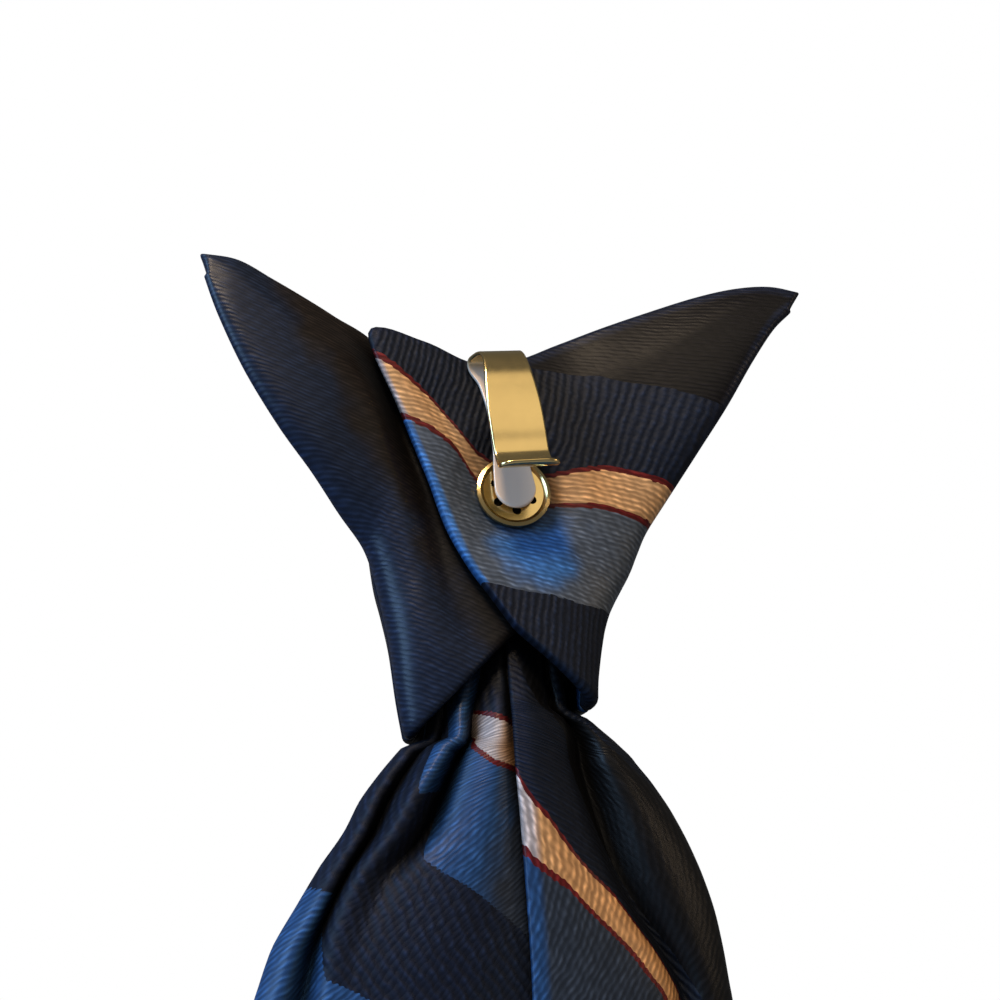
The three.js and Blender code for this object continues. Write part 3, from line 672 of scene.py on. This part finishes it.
def math_node(tree, operation, a, b=None):
    """The output of a maths node. a and b are sockets or numbers."""
    made = node(tree, "ShaderNodeMath", operation=operation)
    for socket, value in zip(made.inputs, (a, b)):
        if isinstance(value, bpy.types.NodeSocket):
            tree.links.new(value, socket)
        elif value is not None:
            socket.default_value = value
    return made.outputs[0]


def stripe_ramp(tree, factor, values):
    """A ramp over one repeat of the stripes, one step for each stripe."""
    ramp = node(tree, "ShaderNodeValToRGB")
    ramp.color_ramp.interpolation = "CONSTANT"
    first = STRIPES[0][0]
    elements = ramp.color_ramp.elements
    for i, ((start, _, _), value) in enumerate(zip(STRIPES, values)):
        place = (start - first) / REPEAT
        element = elements[i] if i < 2 else elements.new(place)
        element.position = place
        element.color = value
    tree.links.new(factor, ramp.inputs[0])
    return ramp.outputs[0]


def scaled(tree, value, factor, plus):
    """The value times the factor, plus another value."""
    made = math_node(tree, "MULTIPLY_ADD", value, factor).node
    if isinstance(plus, bpy.types.NodeSocket):
        tree.links.new(plus, made.inputs[2])
    else:
        made.inputs[2].default_value = plus
    return made.outputs[0]


def separate(tree, vector):
    """The coordinates of a vector."""
    made = node(tree, "ShaderNodeSeparateXYZ")
    tree.links.new(vector, made.inputs[0])
    return made.outputs


def noise(tree, place, scale, detail):
    """Noise from 0 to 1."""
    made = node(tree, "ShaderNodeTexNoise")
    made.inputs["Scale"].default_value = scale
    made.inputs["Detail"].default_value = detail
    tree.links.new(place, made.inputs["Vector"])
    return made.outputs[0]


def pair(tree, x, y):
    """A vector of two coordinates."""
    made = node(tree, "ShaderNodeCombineXYZ")
    tree.links.new(x, made.inputs[0])
    tree.links.new(y, made.inputs[1])
    return made.outputs[0]


def choose(tree, factor, a, b, kind="FLOAT"):
    """A mix of a and b by the factor. Each is a socket or a value."""
    made = node(tree, "ShaderNodeMix", data_type=kind)
    for name, value in (("Factor", factor), ("A", a), ("B", b)):
        socket = next(i for i in made.inputs if i.enabled and i.name == name)
        if isinstance(value, bpy.types.NodeSocket):
            tree.links.new(value, socket)
        else:
            socket.default_value = value
    return next(o for o in made.outputs if o.enabled)


def cells(tree, x, y, size, step, randomness, rows):
    """Long bumps in shifted rows, from 0 to 1. rows is how much the rows stand out from the bumps."""
    row = math_node(tree, "MULTIPLY", y, 1 / size[1])
    shifted = math_node(tree, "MULTIPLY", row, step)
    column = math_node(tree, "ADD", math_node(tree, "MULTIPLY", x, 1 / size[0]), shifted)
    cell = node(tree, "ShaderNodeTexVoronoi", feature="F1")
    cell.inputs["Scale"].default_value = 1.0
    cell.inputs["Randomness"].default_value = randomness
    tree.links.new(pair(tree, column, row), cell.inputs["Vector"])
    bump = math_node(tree, "MULTIPLY", math_node(tree, "SUBTRACT", 1.0, cell.outputs["Distance"]), 1 - rows)
    wave = math_node(tree, "COSINE", math_node(tree, "MULTIPLY", row, 2 * math.pi))
    return math_node(tree, "ADD", bump, math_node(tree, "MULTIPLY", math_node(tree, "ADD", wave, 1.0), rows / 2))


def weave_nodes(tree):
    """Broad wandering of the cloth, and the heights of the satin's floats and of the ribs, from 0 to 1."""
    x, y, _ = separate(tree, node(tree, "ShaderNodeUVMap", uv_map="Weave").outputs[0])
    across = math_node(tree, "MULTIPLY", x, WEAVE_TO_MM)
    up = math_node(tree, "MULTIPLY", y, WEAVE_TO_MM)
    wander = noise(tree, pair(tree, across, up), *WANDER_NOISE)
    drift = math_node(tree, "MULTIPLY", wander, DRIFT)
    satin = cells(tree, across, math_node(tree, "ADD", up, drift), THREAD, TWILL_STEP, FLOAT_SPREAD, FLOAT_ROWS)
    knots = cells(tree, up, math_node(tree, "ADD", across, drift), KNOT, RIB_STEP, KNOT_SPREAD, KNOT_ROWS)
    return wander, satin, knots


def eased(tree, value, low, high):
    """From 0 at low to 1 at high."""
    share = node(tree, "ShaderNodeMapRange", interpolation_type="SMOOTHSTEP")
    tree.links.new(value, share.inputs["Value"])
    share.inputs["From Min"].default_value = low
    share.inputs["From Max"].default_value = high
    return share.outputs[0]


def painted_warm_light_share(tree, centre, reach):
    """From 0 where the cloth is painted as lit by the cool lamp to 1 where it is painted as lit by the warm lamp,
    farther than the reach from the centre.
    """
    place = node(tree, "ShaderNodeTexCoord").outputs["Object"]
    away = node(tree, "ShaderNodeVectorMath", operation="DISTANCE")
    tree.links.new(place, away.inputs[0])
    away.inputs[1].default_value = centre
    wavy = scaled(tree, noise(tree, place, *PAINTED_LIGHT_NOISE), PAINTED_LIGHT_WAVES, away.outputs["Value"])
    middle = reach + PAINTED_LIGHT_WAVES / 2
    return eased(tree, wavy, middle - PAINTED_LIGHT_EDGE, middle + PAINTED_LIGHT_EDGE)


def striped_nodes(tree, colours, painted_warm_light, satin, ribs):
    """The colour with painted cool and warm light, the roughness, the height and the painted glints of striped
    cloth, with its ribbed stripes.
    """
    lane, edge, _ = separate(tree, node(tree, "ShaderNodeUVMap", uv_map="Stripe").outputs[0])
    ragged = math_node(tree, "MULTIPLY", math_node(tree, "SUBTRACT", satin, 0.5), RAGGED)
    # Painted cool light along folded edges: a painted highlight where the cool lamp catches the fold
    painted_warm_light = math_node(tree, "MULTIPLY", painted_warm_light, eased(tree, edge, *FOLD_PAINTED_COOL_LIGHT))
    moved = math_node(tree, "SUBTRACT", math_node(tree, "ADD", lane, ragged), STRIPES[0][0] / REPEAT)
    factor = math_node(tree, "FRACT", moved)
    # The cool-lit and the warm-lit painted copies of each stripe's colour, mixed by the painted warm light
    cool, warm = (stripe_ramp(tree, factor, [(*colours[key][k], 1) for _, key, _ in STRIPES]) for k in (0, 1))
    ribbed = stripe_ramp(tree, factor, [(r, r, r, 1) for _, _, r in STRIPES])
    float_height = math_node(tree, "MULTIPLY", satin, FLOAT_RISE)
    knot_height = math_node(tree, "MULTIPLY", ribs, KNOT_RISE)
    float_glint = math_node(tree, "POWER", satin, FLOAT_CONTRAST)
    knot_glint = math_node(tree, "POWER", ribs, KNOT_CONTRAST)
    return (
        choose(tree, painted_warm_light, cool, warm, "RGBA"),
        scaled(tree, ribbed, RIB_ROUGHER, STRIPED_ROUGHNESS),
        choose(tree, ribbed, float_height, knot_height),
        choose(tree, ribbed, float_glint, knot_glint),
    )


def cloth_material(name, colours, painted_light):
    """Woven tie cloth: satin with a fine twill, and ribbed stripes where it has stripes. Its colour holds painted
    cool and warm light, painted glints on the threads and painted shade in the folds.
    """
    material = bpy.data.materials.new(name)
    material.use_nodes = True
    tree = material.node_tree
    shader = tree.nodes["Principled BSDF"]
    wander, satin, ribs = weave_nodes(tree)
    painted_warm_light = painted_warm_light_share(tree, *painted_light)
    if len(colours) > 1:
        colour, rough, height, light = striped_nodes(tree, colours, painted_warm_light, satin, ribs)
        tree.links.new(rough, shader.inputs["Roughness"])
    else:
        colour = choose(tree, painted_warm_light, *[(*c, 1) for c in colours["satin"]], "RGBA")
        height = math_node(tree, "MULTIPLY", satin, FLOAT_RISE)
        light = math_node(tree, "POWER", satin, FLOAT_CONTRAST)
        shader.inputs["Roughness"].default_value = PLAIN_ROUGHNESS
    # Painted shade in the folds and creases, darker where other cloth is near
    folds = node(tree, "ShaderNodeAmbientOcclusion", samples=4)
    folds.inputs["Distance"].default_value = FOLD_SHADE_REACH
    deep = math_node(tree, "POWER", folds.outputs["AO"], FOLD_SHADE_CONTRAST)
    broad = scaled(tree, wander, SHADE, 1 - SHADE / 2)
    # Painted glints on the threads' tops, random tone along the cloth and painted shade in the folds, multiplied
    # into the colour
    threads = scaled(tree, light, THREAD_GLINT, THREAD_DARK)
    shade = math_node(tree, "MULTIPLY", threads, math_node(tree, "MULTIPLY", broad, deep))
    tinted = choose(tree, 1.0, colour, shade, "RGBA")
    tinted.node.blend_type = "MULTIPLY"
    tree.links.new(tinted, shader.inputs["Base Color"])
    bump = node(tree, "ShaderNodeBump")
    bump.inputs["Strength"].default_value = BUMP_STRENGTH
    bump.inputs["Distance"].default_value = BUMP_HEIGHT
    tree.links.new(height, bump.inputs["Height"])
    tree.links.new(bump.outputs[0], shader.inputs["Normal"])
    shader.inputs["Specular IOR Level"].default_value = CLOTH_SPECULAR
    return material


def metal_material(name, worn_tongue):
    """Gold plating, polished but a little uneven. The clip's tongue is worn dull and grey."""
    material = bpy.data.materials.new(name)
    material.use_nodes = True
    tree = material.node_tree
    shader = tree.nodes["Principled BSDF"]
    place = node(tree, "ShaderNodeTexCoord").outputs["Object"]
    rough = scaled(tree, noise(tree, place, *UNEVEN_NOISE), UNEVEN, GOLD_ROUGHNESS)
    dark = (*[DARK_GOLD * c for c in GOLD], 1)
    tone = choose(tree, noise(tree, place, *TONE_NOISE), (*GOLD, 1), dark, "RGBA")
    shader.inputs["Metallic"].default_value = 1
    if worn_tongue:
        worn = eased(tree, separate(tree, place)[1], *WORN_LEVELS)
        rough = choose(tree, worn, rough, WORN_ROUGHNESS)
        tone = choose(tree, worn, tone, (*WORN_METAL, 1), "RGBA")
        tree.links.new(choose(tree, worn, 1.0, WORN_METALLIC), shader.inputs["Metallic"])
    tree.links.new(rough, shader.inputs["Roughness"])
    tree.links.new(tone, shader.inputs["Base Color"])
    return material


# The clip's strip, as in the CAD part
STRIP_COLUMNS = ["out", "up", "lip", "wide"]
TONGUE_SHARE = TONGUE_WIDTH / LEAF_WIDTH
STRIP_ROWS = [
    [0, -TONGUE_WIDTH / 2 / CLIP_HEIGHT, 0, TONGUE_SHARE],
    [0, 0, 0, TONGUE_SHARE],
    [0, 0.15, 0, 0.68],
    [0, 0.3, 0, 0.58],
    [0, 0.6, 0, 0.54],
    [0, 0.83, 0, 0.7],
    [0.04, 0.94, 0, 1],
    [0.18, 0.995, 0, 1.06],
    [0.42, 1, 0, 0.92],
    [0.68, 0.97, 0, 0.8],
    [0.9, 0.9, 0, 0.8],
    [1, 0.79, 0, 0.86],
    [1.03, 0.64, 0, 0.95],
    [1.04, 0.48, 0, 1],
    [1.02, 0.32, 0, 1],
    [0.98, 0.19, 0, 0.99],
    [0.98, 0.11, 0.03, 0.98],
    [1, 0.045, 0.16, 0.99],
    [1, 0.005, 0.42, 1.02],
    [1, -0.012, 0.72, 1.05],
    [1, -0.012, 1, 1.04],
]
LIP_CORNER = 1.0


def leaned(points):
    """Points of the clip, turned about the washer's centre by the clip's lean."""
    cos, sin = math.cos(CLIP_LEAN), math.sin(CLIP_LEAN)
    x, y, z = np.moveaxis(np.asarray(points, float), -1, 0)
    return np.stack([x * cos - z * sin, y, x * sin + z * cos], axis=-1)


def strip_grid(size):
    """The points of the clip's strip, from the tongue's round end over the bend to the lip."""
    v = {name: np.array(values) for name, values in zip(STRIP_COLUMNS, zip(*STRIP_ROWS))}
    level = lerp(TONGUE_LEVEL, LEAF_LEVEL, v["out"]) - LIP_FLARE * v["lip"]
    fine = np.linspace(0, 1, CURVE_STEPS)
    line = curve_through(np.stack([level, CLIP_HEIGHT * v["up"]], axis=1), fine)
    run = run_round(line)
    wide = along(v["wide"], fine)
    s = 2 * steps_with_rims(size[1], STRIP_RIMS[1])[None, :] - 1
    shorter = 1 - np.sqrt(np.maximum(1 - s * s, 0))
    start = TONGUE_WIDTH / 2 * shorter
    end = run[-1] - LIP_CORNER * shorter * s * s
    at = lerp(start, end, steps_with_rims(size[0], STRIP_RIMS[0])[:, None])
    half = LEAF_WIDTH * np.interp(at, run, wide) / 2
    y = np.interp(at, run, line[:, 0])
    z = np.interp(at, run, line[:, 1])
    return leaned(np.stack([s * half, y, z], axis=2))


def washer(name):
    """The washer, turned round its axis, with its holes cut through."""
    inner = WASHER_RADIUS - RIM_WIDTH
    profile = [
        (WASHER_RADIUS - WASHER_ROUNDING, 0),
        (WASHER_RADIUS, WASHER_ROUNDING),
        (WASHER_RADIUS, WASHER_FLOOR + WASHER_RIM - RIM_ROUNDING),
        (WASHER_RADIUS - RIM_WIDTH / 2, WASHER_FLOOR + WASHER_RIM),
        (inner, WASHER_FLOOR),
    ]
    sides = WASHER_SIDES
    turn = np.linspace(0, 2 * math.pi, sides, endpoint=False)
    rings = [np.stack([r * np.cos(turn), -h + 0 * turn, r * np.sin(turn)], axis=1) for r, h in profile]
    places = np.concatenate([[[0, 0, 0]], *rings, [[0, -WASHER_FLOOR, 0]]])
    faces = []
    for i in range(len(profile) - 1):
        for k in range(sides):
            a = 1 + i * sides + k
            b = 1 + i * sides + (k + 1) % sides
            faces.append((a, b, b + sides, a + sides))
    last = 1 + (len(profile) - 1) * sides
    for k in range(sides):
        faces.append((0, 1 + (k + 1) % sides, 1 + k))
        faces.append((len(places) - 1, last + k, last + (k + 1) % sides))
    mesh = bpy.data.meshes.new(name)
    places = leaned(places + (0, WASHER_BACK, 0))
    mesh.from_pydata(to_frame(places).tolist(), [], faces)
    piece = bpy.data.objects.new(name, mesh)
    bpy.context.scene.collection.objects.link(piece)
    for i in range(HOLE_COUNT):
        angle = (i + 0.5) * 2 * math.pi / HOLE_COUNT
        bpy.ops.mesh.primitive_cylinder_add(vertices=HOLE_SIDES, radius=HOLE_RADIUS * MM, depth=CUTTER_DEPTH * MM)
        cutter = bpy.context.object
        centre = leaned([[HOLE_CIRCLE * math.cos(angle), 0, HOLE_CIRCLE * math.sin(angle)]])
        cutter.location = to_frame(centre)[0]
        cutter.rotation_euler = (math.pi / 2, 0, 0)
        cut = piece.modifiers.new("hole", "BOOLEAN")
        cut.operation = "DIFFERENCE"
        cut.object = cutter
        bpy.context.view_layer.objects.active = piece
        bpy.ops.object.modifier_apply(modifier=cut.name)
        bpy.data.objects.remove(cutter)
    return piece


# The studio, in metres and watts. The lamps are in the order name, place, target, size, colour, power
LIGHTS = [
    ("window", (-0.5, -0.22, 0.08), (0, 0, -0.01), (0.3, 0.4), (0.35, 0.62, 1.0), 4),
    ("lamp", (-0.1, -0.225, 0.165), (0, 0, -0.01), (0.06, 0.06), (1.0, 0.78, 0.54), 0.75),
    ("side", (0.5, -0.3, 0.1), (0, 0, -0.01), (0.12, 0.12), (1.0, 0.75, 0.5), 0.35),
    ("card", (0.11, -0.5, 0.24), (0, 0, 0), (0.3, 0.26), (1.0, 0.86, 0.62), 0.22),
]
WORLD_LIGHT = 0.12  # how bright the white room is as light, where 1 is how the camera sees it
FLOOR_SIDE = 6
FLOOR_HEIGHT = -0.53
FLOOR_TONE = (0.8, 0.8, 0.8, 1)
FLOOR_ROUGHNESS = 0.8


def area_light(name, place, target, size, colour, power):
    """A rectangular lamp that faces the target."""
    light = bpy.data.lights.new(name, "AREA")
    light.shape = "RECTANGLE"
    light.size, light.size_y = size
    light.color = colour
    light.energy = power
    lamp = bpy.data.objects.new(name, light)
    lamp.location = place
    direction = Vector(target) - Vector(place)
    lamp.rotation_euler = direction.to_track_quat("-Z", "Y").to_euler()
    bpy.context.scene.collection.objects.link(lamp)


def make_camera():
    """The photo's camera, aimed so that the washer's centre lies on its pixel."""
    back = Vector((
        math.sin(CAMERA_AZIMUTH) * math.cos(CAMERA_ELEVATION),
        -math.cos(CAMERA_AZIMUTH) * math.cos(CAMERA_ELEVATION),
        math.sin(CAMERA_ELEVATION),
    ))
    right = Vector((math.cos(CAMERA_AZIMUTH), math.sin(CAMERA_AZIMUTH), 0))
    up = back.cross(right)
    middle = IMAGE_SIDE / 2
    aside = (WASHER_PIXEL[0] - middle) / FOCAL_PIXELS
    above = (middle - WASHER_PIXEL[1]) / FOCAL_PIXELS
    depth = CAMERA_TO_WASHER / math.sqrt(1 + aside**2 + above**2)
    ray = (-back + right * aside + up * above) * depth
    camera = bpy.data.objects.new("Camera", bpy.data.cameras.new("Camera"))
    camera.location = Vector(to_frame([[0, 0, 0]])[0]) - ray * MM
    rotation = Matrix((right, up, back)).transposed()
    camera.rotation_euler = rotation.to_euler()
    camera.data.sensor_width = SENSOR
    camera.data.lens = SENSOR * FOCAL_PIXELS / IMAGE_SIDE
    camera.data.clip_start = 0.005
    camera.data.clip_end = 20
    bpy.context.scene.collection.objects.link(camera)
    bpy.context.scene.camera = camera


def make_studio():
    """A white room with a pale floor and the lamps."""
    world = bpy.data.worlds.new("Studio")
    bpy.context.scene.world = world
    world.use_nodes = True
    tree = world.node_tree
    background = tree.nodes["Background"]
    path = node(tree, "ShaderNodeLightPath").outputs["Is Camera Ray"]
    tree.links.new(scaled(tree, path, 1 - WORLD_LIGHT, WORLD_LIGHT), background.inputs["Strength"])
    background.inputs["Color"].default_value = (1, 1, 1, 1)
    bpy.ops.mesh.primitive_plane_add(size=FLOOR_SIDE, location=(0, 0, FLOOR_HEIGHT))
    floor = bpy.context.object
    floor.name = "floor"
    material = bpy.data.materials.new("Pale_floor")
    material.use_nodes = True
    shader = material.node_tree.nodes["Principled BSDF"]
    shader.inputs["Base Color"].default_value = FLOOR_TONE
    shader.inputs["Roughness"].default_value = FLOOR_ROUGHNESS
    floor.data.materials.append(material)
    for light in LIGHTS:
        area_light(*light)
    bpy.context.scene.view_settings.view_transform = "Standard"


def finish_piece(piece, material, node_name):
    """Gives a piece its material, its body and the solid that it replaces."""
    piece.data.materials.append(material)
    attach(piece, "root")
    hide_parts(node_name)


# How each piece's weave is turned, and where the front's stripes start on the cloth, in millimetres
RIGHT_TURN = math.radians(9)
LEFT_TURN = math.radians(-20)
BIAS_TURN = math.radians(45)
FRONT_START = -29

knot_cloth = cloth_material("Striped_cloth", KNOT_COLOURS, KNOT_PAINTED_LIGHT)
blade_cloth = cloth_material("Blade_cloth", BLADE_SHADED_COLOURS, BLADE_PAINTED_LIGHT)
navy_satin = cloth_material("Navy_satin", WING_COLOURS, WING_PAINTED_LIGHT)
gold = metal_material("Gold_metal", False)
strip_gold = metal_material("Strip_metal", True)

right_points = band_grid(RIGHT_ROWS, RIGHT_GRID)
right_across = right_points[..., 0] + right_points[..., 1]
right_maps = cloth_maps(right_points, band_stripes(right_points), RIGHT_TURN, right_across)
right_band = shell("right_band_cloth", right_points, BAND_CLOTH, right_maps)
finish_piece(right_band, knot_cloth, "right_band")

left_points = band_grid(LEFT_ROWS, LEFT_GRID)
left_maps = cloth_maps(left_points, 0 * left_points[..., 0], LEFT_TURN)
left_band = shell("left_band_cloth", left_points, BAND_CLOTH, left_maps)
finish_piece(left_band, navy_satin, "left_band")

front_points = front_grid(FRONT_GRID)
front_stripes = BIAS * (run_along(front_points, 1) - front_points[..., 2]) + FRONT_START
front_maps = cloth_maps(front_points, front_stripes, BIAS_TURN)
knot_front = shell("knot_front_cloth", front_points, FRONT_CLOTH, front_maps)
finish_piece(knot_front, knot_cloth, "knot_front")

blade_points, blade_stripes = blade_grid(BLADE_GRID)
blade_maps = cloth_maps(blade_points, blade_stripes, BIAS_TURN)
blade = shell("blade_cloth", blade_points, BLADE_CLOTH, blade_maps)
finish_piece(blade, blade_cloth, "blade")

strip = shell("clip_strip_metal", strip_grid(STRIP_GRID), STRIP_THICKNESS, {})
finish_piece(strip, strip_gold, "clip_strip")
finish_piece(washer("clip_washer_metal"), gold, "clip_washer")

make_studio()
make_camera()
